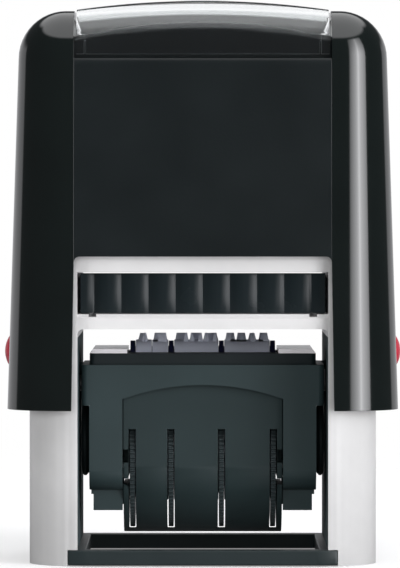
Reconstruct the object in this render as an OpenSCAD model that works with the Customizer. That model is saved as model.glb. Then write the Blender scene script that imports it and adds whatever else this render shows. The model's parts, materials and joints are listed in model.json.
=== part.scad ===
// Self-inking date stamp: a sprung cap pushes a flip-over print unit
// down through an open base frame. +Z is up and the front faces -Y.
// The model stands locked for transport, with the bands just below the pad.

/* [Print unit] */
// Width of the text plate
plate_w = 41.1; // [37:0.1:46]
// Depth of the text plate
plate_d = 24; // [21:0.5:27]
// Thickness of the text plate
plate_t = 2.2; // [1.6:0.1:2.6]
// Thickness of the pale carrier that the text sticks to
carrier_t = 0.8; // [0.5:0.1:1.2]
// Distance from the trunnion axis to the printing face of the bands
band_reach = 8.65; // [8.2:0.05:9.6]
// Distance from the trunnion axis down to the wheel axle
wheel_drop = 15.15; // [14.8:0.05:16.5]
// Radius of the knurled setting wheels
wheel_r = 11.8; // [11:0.1:12.2]
// Thickness of a setting wheel's rim
wheel_t = 0.9; // [0.7:0.05:1.2]
// Radius of the hub that turns a band
hub_r = 5.6; // [4.6:0.1:6.4]
// Radius of the wheel axle
wheel_axle_r = 1; // [0.8:0.05:1.5]
// Thickness of a rubber band
band_t = 1; // [0.7:0.05:1.2]
// Height of the raised characters on a band
character_h = 1.2; // [0.6:0.1:1.4]
// Width of each of the two day bands
day_band_w = 2.95; // [2.4:0.05:3.1]
// Width of the month band
month_band_w = 8.15; // [7:0.05:8.5]
// Width of the year band
year_band_w = 8.35; // [7:0.05:8.7]
// Wall of the unit housing
housing_wall = 1.6; // [1.2:0.1:2]
// Wall of the wheel guard
guard_t = 1; // [0.7:0.1:1.4]
// Overhang of the housing's upper rim at each end
rim_lip = 1.25; // [0.8:0.05:1.6]

/* [Flip mechanism] */
// Travel of the cap from locked to stamping
stroke = 24; // [23:0.5:27]
// Radius of the trunnion pins that carry the unit
trunnion_r = 2; // [1.6:0.1:2.4]
// Radius of the follower pins that turn the unit over
follower_r = 1.2; // [0.9:0.1:1.4]
// Distance from the trunnion axis to a follower pin
follower_arm = 4.5; // [4.2:0.1:5]
// Depth of the cam groove
groove_depth = 1.2; // [0.8:0.1:1.4]
// Thickness of a cam wall
cam_wall_t = 1.8; // [1.7:0.1:2.4]
// Thickness of a yoke leg
yoke_t = 2.4; // [1.8:0.1:3]
// Width of a yoke leg, front to back
yoke_w = 12; // [9:0.5:14]
// Radius of the return spring at its wire centre
spring_r = 6; // [5:0.5:8]
// Diameter of the spring wire
wire_d = 1; // [0.8:0.05:1.1]
// Turns of the return spring
spring_turns = 8; // [5:1:8]

/* [Base] */
// Depth of the base frame
base_d = 48; // [46:0.5:54]
// Corner radius of the base frame in plan
base_corner_r = 11; // [6:0.5:13]
// Wall of the base frame
base_wall = 1.6; // [1.2:0.1:2]
// Height of the crossbar under the cartridge
bar_h = 2.7; // [1.9:0.1:3]
// Height of the upper crossbar, from the cartridge to the deck
upper_bar_h = 3.6; // [3.2:0.1:5]
// Thickness of the top deck
deck_t = 1.6; // [1.2:0.1:2.4]
// Thickness of the foot frame
foot_t = 2.7; // [1.8:0.1:3.2]
// Width of the foot frame's front and rear bars
foot_bar = 3.5; // [2.5:0.1:4.5]

/* [Ink cartridge] */
// Gap from the bands to the ink pad when locked
pad_gap = 4.2; // [3.4:0.1:5]
// Height of the cartridge
cartridge_h = 7.1; // [6.5:0.1:8.5]
// Thickness of the ink pad
pad_t = 4.5; // [3:0.1:5]
// Depth of the ink pad
pad_d = 26; // [22:0.5:30]
// Spacing of the grip's rounded lobes
grip_pitch = 4.87; // [4:0.01:6]
// Depth of the valleys between the lobes
lobe_depth = 0.6; // [0.4:0.05:1]

/* [Cap] */
// Wall of the cap at its crown
cap_wall = 1.3; // [1.1:0.1:2]
// Outward slope of the cap's ends from crown to skirt
cap_draft = 2.15; // [1.8:0.05:3]
// Corner radius of the cap's skirt in plan
cap_corner_r = 11; // [9:0.5:13]
// Edge radius round the crown
crown_r = 8.6; // [6.5:0.1:9]
// Thickness of the roof under the window
roof_t = 3.2; // [2.8:0.1:3.6]
// Width of the recessed front panel and of the window bay
panel_w = 46.14; // [44:0.02:48]
// Depth of the panel's recess
panel_recess = 0.35; // [0.2:0.05:0.6]
// Thickness of the imprint window
window_t = 1.5; // [1:0.1:2]
// Radius of a lock button
button_r = 2.8; // [2.2:0.1:3]
// Travel of a lock button
button_travel = 1.2; // [0.8:0.1:1.4]

/* [Hidden] */
$fn = 64;

// Clearances: seats that stay put, running bores, sliding pieces and pieces that swing past
seat_gap = 0.05;
run_gap = 0.05;
slide_gap = 0.2;
pass_gap = 0.3;
swing_gap = 0.5;
// Overshoot of cuts, and a length past the whole stamp
cut = 1;
far = 200;

// Widths, worked outwards from the text plate (half widths from the middle)
cheek_step = 0.15;
yoke_gap = 0.7;
leg_space = 2.4;
cap_gap = 0.5;
cavity_draft = 1.3;
rim_inner = plate_w / 2 + slide_gap;
rim_half = rim_inner + rim_lip;
cheek_half = rim_inner - cheek_step;
cheek_inner = rim_inner - housing_wall;
bay_half = rim_half + swing_gap;
wall_out = bay_half + cam_wall_t;
yoke_in = wall_out + yoke_gap;
yoke_out = yoke_in + yoke_t;
hollow_out = yoke_out + leg_space;
base_half = hollow_out + base_wall;
cap_in_top = base_half + cap_gap;
cap_in_low = cap_in_top + cavity_draft;
cap_half_top = cap_in_top + cap_wall;
cap_half_low = cap_half_top + cap_draft;
panel_half = panel_w / 2;

// Heights, worked up from the stamping face at the bottom of the stroke
foot_z = 0.2;
wall_drop = 0.3;
skirt_clear = 4;
bar_show = 2.85;
beam_t = 2.5;
ear_rise = 5.3;
flap_drop = 3.4;
lock_rise = 10;
axle_z = stroke + band_reach;
face_z = axle_z + band_reach;
wheel_z = axle_z - wheel_drop;
pad_z = face_z + pad_gap;
bar_top = pad_z - slide_gap;
bar_bottom = bar_top - bar_h;
cartridge_top = pad_z + cartridge_h;
bay_top = cartridge_top + slide_gap;
deck_z = bay_top + upper_bar_h;
base_h = deck_z + deck_t;
foot_top = foot_z + foot_t;
wall_bottom = foot_top + seat_gap;
wall_top = face_z - wall_drop;
spring_solid = (spring_turns + 2) * wire_d;
boss_r = spring_r - wire_d / 2 - yoke_gap;
beam_z = base_h + stroke + spring_solid;
ceiling_z = beam_z + beam_t;
roof_z = ceiling_z + roof_t;
skirt_z = stroke + skirt_clear;
cutout_z = bay_top + bar_show;
ear_z = ceiling_z + ear_rise;
flap_z = ceiling_z - flap_drop;
lock_z = skirt_z + lock_rise;

// Print unit heights
rim_drop = 4.2;
band_stand = 2.25;
rim_lip_h = 0.17;
unit_deck_t = 1.6;
shoulder_drop = 4.5;
cheek_drop = 8.25;
rim_bottom = axle_z - rim_drop;
plate_z = face_z - character_h - band_stand - plate_t;
rim_top = plate_z + rim_lip_h;
deck_under = plate_z - unit_deck_t;
shoulder_z = wheel_z - shoulder_drop;
unit_bottom = wheel_z - cheek_drop;

// Bands: a nose at the printing face and a hub at the wheel axle
nose_r = 2.3;
band_fit = 0.3;
band_side_gap = 0.08;
nose_z = face_z - character_h - band_t - nose_r;
nose_outer = nose_r + band_t;
hub_inner = hub_r + band_fit;
date_half_d = nose_outer + band_fit;

// Wheels and bands side by side, from the left end of the stack
date_gap = 0.45;
guard_side = 1.15;
guard_end_t = 0.9;
wheel_show = 0.4;
guard_below = 1.0;
rim_step = wheel_t + band_side_gap;
stack_w = 4 * wheel_t + 2 * day_band_w + month_band_w + year_band_w + 7 * band_side_gap;
tens_x = -stack_w / 2 + rim_step;
units_x = tens_x + day_band_w + band_side_gap;
month_x = units_x + day_band_w + band_side_gap + rim_step;
year_x = month_x + month_band_w + band_side_gap + rim_step;
wheel_x = [
    -stack_w / 2,
    month_x - rim_step,
    year_x - rim_step,
    stack_w / 2 - wheel_t
];
date_half = stack_w / 2 + date_gap;
guard_half = stack_w / 2 + guard_side;
guard_r = wheel_r + guard_below;
guard_front = wheel_r - wheel_show;
guard_top = deck_under - cut;

// Depths (half depths from the middle)
plate_rim = 1;
front_wall_t = 1.2;
cap_gap_d = 0.6;
cap_front_wall = 1.6;
base_half_d = base_d / 2;
leg_half_d = base_half_d - base_wall;
housing_half_d = max(plate_d / 2 + slide_gap + plate_rim, guard_front + slide_gap + front_wall_t);
cap_in_d = base_half_d + cap_gap_d;
cap_half_d = cap_in_d + cap_front_wall;

// Shapes shared by several pieces

// A solid between two corners, each axis given as [low, high]
module block(x, y, z) {
    translate([x[0], y[0], z[0]])
        cube([x[1] - x[0], y[1] - y[0], z[1] - z[0]]);
}

// A rectangle with round corners
module rounded_plate(w, d, r) {
    square([w, d - 2 * r], center = true);
    square([w - 2 * r, d], center = true);
    for (x = [-1, 1], y = [-1, 1])
        translate([x * (w / 2 - r), y * (d / 2 - r)]) circle(r);
}

// A (y, z) outline drawn out along X
module along_x(x0, x1) {
    translate([x0, 0, 0]) rotate([90, 0, 90]) linear_extrude(x1 - x0) children();
}

// An (x, z) outline drawn out along Y
module along_y(y0, y1) {
    translate([0, y1, 0]) rotate([90, 0, 0]) linear_extrude(y1 - y0) children();
}

// A round bar along X
module rod(x0, x1, r, y = 0, z = 0) {
    translate([x0, y, z]) rotate([0, 90, 0]) cylinder(h = x1 - x0, r = r);
}

module both_sides() {
    children();
    mirror([1, 0, 0]) children();
}

// Everything below a shallow arch of a given half width and rise, as an (x, z) outline
module under_arch(half, rise, top) {
    r = (half * half + rise * rise) / (2 * rise);
    translate([0, top - r]) circle(r, $fn = 720);
}

// Outline of a belt round a nose and a hub, as a (y, z) outline
module belt_outline(r_nose, r_hub) {
    span = nose_z - wheel_z;
    s = (r_hub - r_nose) / span;
    c = sqrt(1 - s * s);
    translate([0, nose_z]) circle(r_nose);
    translate([0, wheel_z]) circle(r_hub);
    polygon([
        [-r_nose * c, nose_z + r_nose * s], [-r_hub * c, wheel_z + r_hub * s],
        [r_hub * c, wheel_z + r_hub * s], [r_nose * c, nose_z + r_nose * s]
    ]);
}

// Base

boss_h = 5;
ledge_w = 2;
ledge_t = 0.8;
latch_w = 1.4;
latch_h = 0.5;
bar_chamfer = 0.8;
opening_r = 1;
foot_side = 1.5;

// Plan of the frame's inside, drawn in by a clearance
module inner_plan(gap = 0) {
    rounded_plate(2 * (hollow_out - gap), 2 * (leg_half_d - gap), base_corner_r - base_wall - gap);
}

module base_frame() color("#dcdbdb") {
    difference() {
        union() {
            linear_extrude(base_h) rounded_plate(2 * base_half, base_d, base_corner_r);
            translate([0, 0, base_h]) cylinder(h = boss_h, r = boss_r);
        }
        // Hollow legs and bay, with the bay's side walls left standing above the cam walls
        difference() {
            translate([0, 0, -cut]) linear_extrude(deck_z + cut) inner_plan();
            both_sides() block([bay_half, wall_out], [-far, far], [wall_top + seat_gap, far]);
        }
        // Openings for the print unit and the cartridge, front and rear
        along_y(-far, far) rounded_plate(2 * bay_half, 2 * bar_bottom, opening_r);
        block([-bay_half, bay_half], [-far, far], [bar_top, bay_top]);
        // Chamfer along the top of each lower crossbar
        for (side = [-1, 1]) scale([1, side, 1]) along_x(-bay_half, bay_half) polygon([
            [base_half_d + cut, bar_top - bar_chamfer - cut],
            [base_half_d - bar_chamfer - cut, bar_top + cut],
            [base_half_d + cut, bar_top + cut]
        ]);
        // Notch of the foot frame
        block([-wall_out, wall_out], [-far, far], [-cut, foot_top + seat_gap]);
        both_sides() {
            slot_d = yoke_w / 2 + pass_gap;
            block([yoke_in - pass_gap, yoke_out + pass_gap], [-slot_d, slot_d], [deck_z - cut, base_h + cut]);
            rod(hollow_out - cut, base_half + cut, lock_pin_r + pass_gap, z = lock_z);
            // Latch notches in the crossbars
            notch_x = bay_half - ledge_w - latch_w;
            block([notch_x, notch_x + latch_w], [-far, far], [bar_top - latch_h, bar_top + cut]);
        }
    }
    // Ledges that the cartridge slides on
    both_sides()
        block([bay_half - ledge_w, bay_half], [-leg_half_d, leg_half_d], [bar_top - ledge_t, bar_top]);
}

module foot_frame() color("#1b1d1e") difference() {
    foot_half = wall_out - seat_gap;
    intersection() {
        linear_extrude(foot_top) rounded_plate(2 * base_half, base_d, base_corner_r);
        block([-foot_half, foot_half], [-far, far], [foot_z, foot_top]);
    }
    window_half = bay_half - foot_side;
    window_half_d = base_half_d - foot_bar;
    block([-window_half, window_half], [-window_half_d, window_half_d], [-cut, foot_top + cut]);
}

// Path of a follower pin across a cam wall, as (y, z), at a turn of the unit
function follower_at(turn, phase) = [
    follower_arm * sin(phase + turn),
    axle_z - stroke * turn / 180 + follower_arm * cos(phase + turn)
];
groove_steps = 36;
groove_gap = 0.15;
groove_half = follower_r + groove_gap;
function groove_normal(turn, phase) =
    let (d = follower_at(turn + 1, phase) - follower_at(turn - 1, phase))
    [-d[1], d[0]] / norm(d);

module groove_outline(phase) {
    turns = [for (i = [0:groove_steps]) 180 * i / groove_steps];
    polygon(concat(
        [for (t = turns) follower_at(t, phase) + groove_half * groove_normal(t, phase)],
        [for (i = [groove_steps:-1:0])
            follower_at(turns[i], phase) - groove_half * groove_normal(turns[i], phase)]
    ));
    for (t = [0, 180]) translate(follower_at(t, phase)) circle(groove_half);
}

module cam_wall(phase) difference() {
    slot_half = trunnion_r + groove_gap;
    intersection() {
        block([bay_half, wall_out - seat_gap], [-far, far], [wall_bottom, wall_top]);
        linear_extrude(wall_top) inner_plan(seat_gap);
    }
    block([bay_half - cut, wall_out + cut], [-slot_half, slot_half], [axle_z - stroke, axle_z]);
    for (z = [axle_z, axle_z - stroke]) rod(bay_half - cut, wall_out + cut, slot_half, z = z);
    along_x(bay_half - cut, bay_half + groove_depth) groove_outline(phase);
}

// The two followers lead and trail by this angle, so one always guides the turn
follower_lead = 60;
module left_cam_wall() color("#1e2021") mirror([1, 0, 0]) cam_wall(-follower_lead);
module right_cam_wall() color("#1e2021") cam_wall(follower_lead);

// Ink cartridge

cartridge_gap = 0.58;
grip_inset = 0.8;
grip_t = 3;
tray_drop = 0.8;
pad_rim = 1.72;
cartridge_half = bay_half - cartridge_gap;
grip_front = base_half_d - grip_inset;
grip_back = grip_front - grip_t;
pad_half = cartridge_half - pad_rim;

module ink_cartridge() color("#191b1c") difference() {
    lobe_r = (grip_pitch * grip_pitch / 4 + lobe_depth * lobe_depth) / (2 * lobe_depth);
    lobes = ceil(cartridge_half / grip_pitch);
    across = [-cartridge_half, cartridge_half];
    union() {
        intersection() {
            block(across, [-grip_front, -grip_back], [pad_z, cartridge_top]);
            union() {
                block(across, [lobe_depth - grip_front, -grip_back], [pad_z, cartridge_top]);
                for (i = [-lobes:lobes - 1])
                    translate([(i + 0.5) * grip_pitch, lobe_r - grip_front, pad_z])
                        cylinder(h = cartridge_h, r = lobe_r);
            }
        }
        block(across, [-grip_back - cut, grip_back], [pad_z, cartridge_top - tray_drop]);
    }
    pocket = pad_half + seat_gap;
    pocket_d = pad_d / 2 + seat_gap;
    block([-pocket, pocket], [-pocket_d, pocket_d], [pad_z - cut, pad_z + pad_t + seat_gap]);
}

module ink_pad() color("#23253a")
    block([-pad_half, pad_half], [-pad_d / 2, pad_d / 2], [pad_z, pad_z + pad_t]);

// Cap

flange_inset = 0.1;
flange_t = 0.85;
flange_lip = 0.8;
button_gap = 0.1;
lock_pin_r = 1.2;
lock_pin_gap = 0.35;
slab_t = 0.5;
button_seat = cap_in_low - flange_inset;

module cap_outer() hull() {
    translate([0, 0, skirt_z]) linear_extrude(slab_t)
        rounded_plate(2 * cap_half_low, 2 * cap_half_d, cap_corner_r);
    for (x = [-1, 1], y = [-1, 1])
        translate([x * (cap_half_top - crown_r), y * (cap_half_d - crown_r), ear_z - crown_r])
            sphere(crown_r, $fn = 48);
}

crown_thick = 0.4;
cavity_thin = 1;
module cap_cavity() hull() {
    inner_r = crown_r + crown_thick;
    translate([0, 0, skirt_z - cut]) linear_extrude(cut + slab_t)
        rounded_plate(2 * cap_in_low, 2 * cap_in_d, cap_corner_r - cavity_thin);
    for (x = [-1, 1], y = [-1, 1])
        translate([x * (cap_in_top - inner_r), y * (cap_in_d - inner_r), ceiling_z - inner_r])
            sphere(inner_r, $fn = 32);
}

// Core under the window: arched across, and set back from the window's flaps
core_half_d = cap_half_d - window_t;
core_setback = 1.2;
core_rise = 2.6;
core_edge_r = 2;
module window_profile(half_d, top, r) {
    translate([0, top / 2]) rounded_plate(2 * half_d, top, r);
}
module core() intersection() {
    along_x(-far, far) window_profile(core_half_d - core_setback, roof_z, core_edge_r);
    along_y(-far, far) under_arch(panel_half, core_rise, roof_z);
}

module cap_shell() color("#171b1c") difference() {
    skirt_flare = 0.45;
    round_r = 1;
    cap_outer();
    cap_cavity();
    // Seat of the yoke beam
    beam_half = yoke_out + seat_gap;
    beam_half_d = yoke_w / 2 + seat_gap;
    block([-beam_half, beam_half], [-beam_half_d, beam_half_d], [flap_z, ceiling_z]);
    // Window bay between the ears
    difference() {
        block([-panel_half, panel_half], [-far, far], [flap_z, far]);
        core();
    }
    for (side = [-1, 1]) scale([1, side, 1]) {
        block([-panel_half, panel_half], [cap_half_d - panel_recess, far], [skirt_z - cut, far]);
        // Cut-out that shows the cartridge and the print unit
        along_y(0, far) {
            polygon([
                [-panel_half - skirt_flare, skirt_z - cut], [panel_half + skirt_flare, skirt_z - cut],
                [panel_half, cutout_z - round_r], [panel_half - round_r, cutout_z],
                [round_r - panel_half, cutout_z], [-panel_half, cutout_z - round_r]
            ]);
            for (x = [-1, 1]) translate([x * (panel_half - round_r), cutout_z - round_r]) circle(round_r);
        }
    }
    both_sides() {
        rod(cap_in_top, far, button_r + button_gap, z = lock_z);
        rod(0, button_seat + flange_t + button_gap, button_r + flange_lip + pass_gap, z = lock_z);
    }
}

pin_gap = 0.02;
yoke_boss_h = 3;
module yoke() color("#2a2d2e") {
    union() {
        block([-yoke_out, yoke_out], [-yoke_w / 2, yoke_w / 2], [beam_z, ceiling_z]);
        translate([0, 0, beam_z - yoke_boss_h]) cylinder(h = yoke_boss_h + cut, r = boss_r);
        both_sides() difference() {
            along_x(yoke_in, yoke_out) {
                translate([-yoke_w / 2, axle_z]) square([yoke_w, beam_z + cut - axle_z]);
                translate([0, axle_z]) circle(yoke_w / 2);
            }
            rod(yoke_in - cut, yoke_out + cut, trunnion_r + pin_gap, z = axle_z);
        }
    }
}

module axle_pins() color("#b9bcbd") both_sides()
    rod(cheek_inner + pass_gap, yoke_out, trunnion_r, z = axle_z);

// Return spring: one tube of six sides swept along a helix
spring_rings = 8;
spring_sides = 6;
spring_low = base_h + wire_d / 2 + seat_gap;
spring_high = beam_z - wire_d / 2 - seat_gap;
spring_rise = (spring_high - spring_low) / (spring_turns * spring_rings);
function helix_at(i) =
    let (a = 360 * i / spring_rings)
    [spring_r * cos(a), spring_r * sin(a), spring_low + spring_rise * i];
spring_line = [for (i = [0:spring_turns * spring_rings]) helix_at(i)];
spring_self_gap = min([
    for (i = [0:len(spring_line) - 1])
        for (j = [i + spring_rings / 2:1:len(spring_line) - 1]) norm(spring_line[i] - spring_line[j])
]) - wire_d;
echo(spring_self_gap = spring_self_gap);

module return_spring() color("#9aa0a3") {
    count = len(spring_line);
    points = [
        for (i = [0:count - 1], k = [0:spring_sides - 1])
            let (a = 360 * i / spring_rings, b = 360 * k / spring_sides)
            spring_line[i] + wire_d / 2 * [cos(b) * cos(a), cos(b) * sin(a), sin(b)]
    ];
    sides = [
        for (i = [0:count - 2], k = [0:spring_sides - 1], half = [0, 1])
            let (
                n = (k + 1) % spring_sides,
                p = i * spring_sides,
                q = p + spring_sides
            )
            half == 0 ? [p + k, q + k, q + n] : [p + k, q + n, p + n]
    ];
    start = [for (k = [1:spring_sides - 2]) [0, k, k + 1]];
    end_base = (count - 1) * spring_sides;
    end = [for (k = [1:spring_sides - 2]) [end_base, end_base + k + 1, end_base + k]];
    polyhedron(points, concat(sides, start, end));
}

// Imprint window: a clear cover bent over the roof, with the card under it
window_gap = 0.45;
window_rise = 1.6;
window_space = 2.4;
flap_gap = 0.75;
flap_inset = 0.1;
clip_w = 1.4;
clip_h = 2.4;
clip_slit = 0.3;
card_t = 0.3;
card_edge = 0.3;
window_half = panel_half - window_gap;
window_in_z = roof_z + window_space;

module imprint_window() color("#dfe6ea", 0.5) difference() {
    intersection() {
        along_x(-window_half, window_half)
            window_profile(cap_half_d - flap_inset, window_in_z + window_t, crown_r);
        along_y(-far, far) under_arch(window_half, window_rise, window_in_z + window_t);
    }
    block([-far, far], [-far, far], [-cut, flap_z + flap_gap]);
    intersection() {
        along_x(-far, far)
            window_profile(core_half_d + slide_gap, window_in_z, crown_r - window_t + pass_gap);
        along_y(-far, far) under_arch(window_half, window_rise, window_in_z);
    }
    // Slits that free a clip at each lower corner
    both_sides() {
        slit_x = window_half - clip_w;
        block([slit_x - clip_slit, slit_x], [-far, far], [flap_z, flap_z + flap_gap + clip_h]);
    }
}

module imprint_card() color("#f4f4f2") {
    card_half = window_half - card_edge;
    card_half_d = core_half_d - crown_r;
    card_z = window_in_z - seat_gap;
    along_y(-card_half_d, card_half_d) intersection() {
        difference() {
            under_arch(window_half, window_rise, card_z);
            under_arch(window_half, window_rise, card_z - card_t);
        }
        translate([-card_half, roof_z]) square([2 * card_half, window_space]);
    }
}

// A lock button: domed head, shaft, flange behind the wall, and a locking stud
button_neck = 1.55;
dome_h = 0.85;
module lock_button() {
    head_x = button_seat + flange_t;
    head_h = button_neck + dome_h + slide_gap;
    dome_r = (button_r * button_r + dome_h * dome_h) / (2 * dome_h);
    rod(button_seat, head_x, button_r + flange_lip, z = lock_z);
    rod(base_half + lock_pin_gap, button_seat + slide_gap, lock_pin_r, z = lock_z);
    translate([head_x - slide_gap, 0, lock_z]) rotate([0, 90, 0]) rotate_extrude() intersection() {
        square([button_r, head_h]);
        translate([0, head_h - dome_r]) circle(dome_r);
    }
}
module left_lock_button() color("#c02a3c") mirror([1, 0, 0]) lock_button();
module right_lock_button() color("#c02a3c") lock_button();

// Print unit

arch_gap = 0.15;
arch_rise = 2.55;
arch_drop = 1.85;
shoulder_r = 3.6;
step_low = 0.8;
step_in = 0.3;
step_in_low = 0.7;
band_room = 1.4;
rear_open = 4.5;
rim_corner_r = 1;
pin_root = 0.15;

// Housing from the side, drawn in by a wall: round shoulders, and a narrower block below them
module unit_profile(wall, bottom) {
    half = housing_half_d - wall;
    r = shoulder_r - wall;
    low = shoulder_z + wall;
    neck = housing_half_d - shoulder_r - wall;
    translate([-half, low + r]) square([2 * half, rim_top - low - r]);
    translate([r - half, low]) square([2 * (half - r), rim_top - low]);
    for (side = [-1, 1]) translate([side * (half - r), low + r]) circle(r);
    translate([-neck, bottom]) square([2 * neck, low + r - bottom]);
}

// Housing from the front: cheeks that step in towards the bottom
module cheek_outline() {
    low_half = cheek_half - step_in_low;
    mid_half = cheek_half - step_in;
    translate([-low_half, unit_bottom]) square([2 * low_half, rim_top - unit_bottom]);
    translate([-mid_half, shoulder_z - step_low]) square([2 * mid_half, rim_top - shoulder_z + step_low]);
    translate([-cheek_half, shoulder_z]) square([2 * cheek_half, rim_top - shoulder_z]);
}

module unit_housing() color("#3b4648") {
    arch_half = guard_half + arch_gap;
    difference() {
        union() {
            translate([0, 0, rim_bottom]) linear_extrude(rim_top - rim_bottom)
                rounded_plate(2 * rim_half, 2 * housing_half_d, rim_corner_r);
            intersection() {
                along_x(-cheek_half, cheek_half) unit_profile(0, unit_bottom);
                along_y(-far, far) cheek_outline();
            }
        }
        // Hollow, the band opening in the top, and the seat of the text plate
        intersection() {
            along_x(-cheek_inner, cheek_inner) unit_profile(front_wall_t, -cut);
            block([-far, far], [-far, far], [-cut, deck_under]);
        }
        band_half_d = date_half_d + band_room;
        block([-date_half, date_half], [-band_half_d, band_half_d], [deck_under - cut, far]);
        seat_half_d = plate_d / 2 + slide_gap;
        block([-rim_inner, rim_inner], [-seat_half_d, seat_half_d], [plate_z, far]);
        // Arched front opening round the guard, and the square rear opening
        along_y(-far, 0) intersection() {
            translate([-arch_half, -far]) square([2 * arch_half, far + deck_under]);
            under_arch(arch_half, arch_rise, deck_under - arch_drop);
        }
        block([-arch_half, arch_half], [0, far], [-cut, wheel_z + rear_open]);
        both_sides() {
            rod(0, rim_half + cut, trunnion_r + run_gap, z = axle_z);
            rod(0, rim_half + cut, wheel_axle_r + run_gap, z = wheel_z);
        }
    }
    // Follower pins that run in the cam grooves
    for (side = [-1, 1]) {
        start = follower_at(0, side * follower_lead);
        scale([side, 1, 1])
            rod(rim_half - pin_root, bay_half + groove_depth - slide_gap, follower_r, start[0], start[1]);
    }
}

module die_plate() color("#2c3335") difference() {
    translate([0, 0, plate_z]) linear_extrude(plate_t) rounded_plate(plate_w, plate_d, rim_corner_r);
    block([-date_half, date_half], [-date_half_d, date_half_d], [plate_z - cut, plate_z + plate_t + cut]);
}

// Pale carrier on each end of the plate, beside the bands, with a sloped outer side
carrier_edge = 0.1;
carrier_slope = 0.5;
module text_carrier() color("#c6c3c8") translate([0, 0, plate_z + plate_t + seat_gap]) both_sides() {
    carrier_half = plate_w / 2 - carrier_edge;
    carrier_half_d = plate_d / 2 - carrier_edge;
    along_y(-carrier_half_d, carrier_half_d) polygon([
        [date_half, 0], [carrier_half, 0], [carrier_half - carrier_slope, carrier_t], [date_half, carrier_t]
    ]);
}

// Bridge inside the bands, with a separator above each wheel
bridge_gap = 0.6;
bridge_drop = 0.15;
module band_bridge() color("#20264a") {
    bridge_r = nose_r - slide_gap;
    separator_r = nose_outer - slide_gap;
    bar_low = wheel_z + wheel_r + bridge_gap;
    bar_half = cheek_inner - seat_gap;
    block([-bar_half, bar_half], [-bridge_r, bridge_r], [bar_low, deck_under - bridge_drop]);
    along_x(-stack_w / 2, stack_w / 2) {
        translate([0, nose_z]) circle(bridge_r);
        translate([-bridge_r, bar_low]) square([2 * bridge_r, nose_z - bar_low]);
    }
    for (x = wheel_x) along_x(x, x + wheel_t) {
        translate([0, nose_z]) circle(separator_r);
        translate([-separator_r, bar_low]) square([2 * separator_r, nose_z - bar_low]);
    }
}

// A closed rubber band with rows of raised character blocks
row_pitch = 4;
row_start = 1;
block_len = 2.4;
block_side = 0.25;
module date_band(x, w, letters) color("#6d6b80") {
    run_angle = 90 - asin((hub_inner - nose_r) / (nose_z - wheel_z));
    run_rows = floor((nose_z - wheel_z - hub_inner) / row_pitch);
    cell = w / letters;
    along_x(x, x + w) difference() {
        belt_outline(nose_outer, hub_inner + band_t);
        belt_outline(nose_r, hub_inner);
    }
    // Row 0 prints; the others lie on the front and rear runs
    translate([x, 0, nose_z])
        for (side = [-1, 1], row = [side > 0 ? 0 : 1:run_rows])
            rotate([row == 0 ? 0 : side * run_angle, 0, 0])
                translate([0, row == 0 ? 0 : -side * (row * row_pitch + row_start), nose_outer])
                    for (k = [0:letters - 1])
                        block([k * cell + block_side, (k + 1) * cell - block_side],
                            [-block_len / 2, block_len / 2], [-band_t / 2, character_h]);
}
module day_tens_band() date_band(tens_x, day_band_w, 1);
module day_units_band() date_band(units_x, day_band_w, 1);
module month_band() date_band(month_x, month_band_w, 3);
module year_band() date_band(year_x, year_band_w, 4);

// Guard round the wheels: a flat front that curls under them, open behind, with notched ends
guard_y = guard_r - guard_front;
guard_lip = 2;
end_back = 8;
end_inset = 0.3;
end_rise = 8;
slot_gap = 0.2;
slot_clear = 0.5;
slot_rise = 6.6;
end_notch_low = 0.5;
end_notch_high = 2.9;
end_gap_low = 3.5;
end_gap_high = 2.4;

// Guard from the side, filled, drawn in by an inset and as far back as a given depth
module guard_outline(inset, back) intersection() {
    union() {
        translate([guard_y, wheel_z]) circle(guard_r - inset);
        translate([inset - guard_front, wheel_z])
            square([guard_front - inset + back, guard_top - wheel_z]);
    }
    translate([back - far, -far]) square([far, 2 * far]);
}

module wheel_guard() color("#333d3f") difference() {
    slot_half = wheel_t / 2 + slot_gap;
    end_x = guard_half - guard_end_t;
    union() {
        along_x(-guard_half, guard_half) difference() {
            guard_outline(0, guard_lip);
            translate([guard_y, wheel_z]) circle(guard_r - guard_t);
            translate([guard_t - guard_front, wheel_z]) square(far);
        }
        both_sides() along_x(end_x, guard_half) intersection() {
            guard_outline(end_inset, end_back);
            translate([-far, wheel_z + end_rise - far]) square([2 * far, far]);
        }
    }
    for (x = wheel_x) {
        middle = x + wheel_t / 2;
        rod(middle - slot_half, middle + slot_half, wheel_r + slot_clear, z = wheel_z);
        block([middle - slot_half, middle + slot_half], [-far, 0], [wheel_z, wheel_z + slot_rise]);
    }
    both_sides() {
        block([end_x, far], [-far, -hub_inner], [wheel_z + end_notch_low, wheel_z + end_notch_high]);
        block([end_x, far], [-far, far], [wheel_z - end_gap_low, wheel_z - end_gap_high]);
    }
    rod(-far, far, wheel_axle_r + run_gap, z = wheel_z);
}

axle_inset = 0.4;
module wheel_axle() color("#b4b8ba")
    rod(axle_inset - cheek_half, cheek_half - axle_inset, wheel_axle_r, z = wheel_z);

// Guide discs on the outside of the cheeks
disc_gap = 0.1;
disc_drop = 2.5;
disc_flare = 0.9;
disc_edge = 0.4;
disc_t = rim_lip + pass_gap;
disc_r = (rim_bottom - wheel_z + disc_drop) / 2 - disc_gap;
disc_z = rim_bottom - disc_gap - disc_r;
module guide_disc() {
    translate([cheek_half, 0, disc_z]) rotate([0, 90, 0]) rotate_extrude()
        polygon([
            [0, 0], [disc_r - disc_flare, 0], [disc_r, disc_t - 2 * disc_edge],
            [disc_r, disc_t - disc_edge], [disc_r - disc_edge, disc_t], [0, disc_t]
        ]);
}
module left_guide_disc() color("#151718") mirror([1, 0, 0]) guide_disc();
module right_guide_disc() color("#151718") guide_disc();

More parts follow.
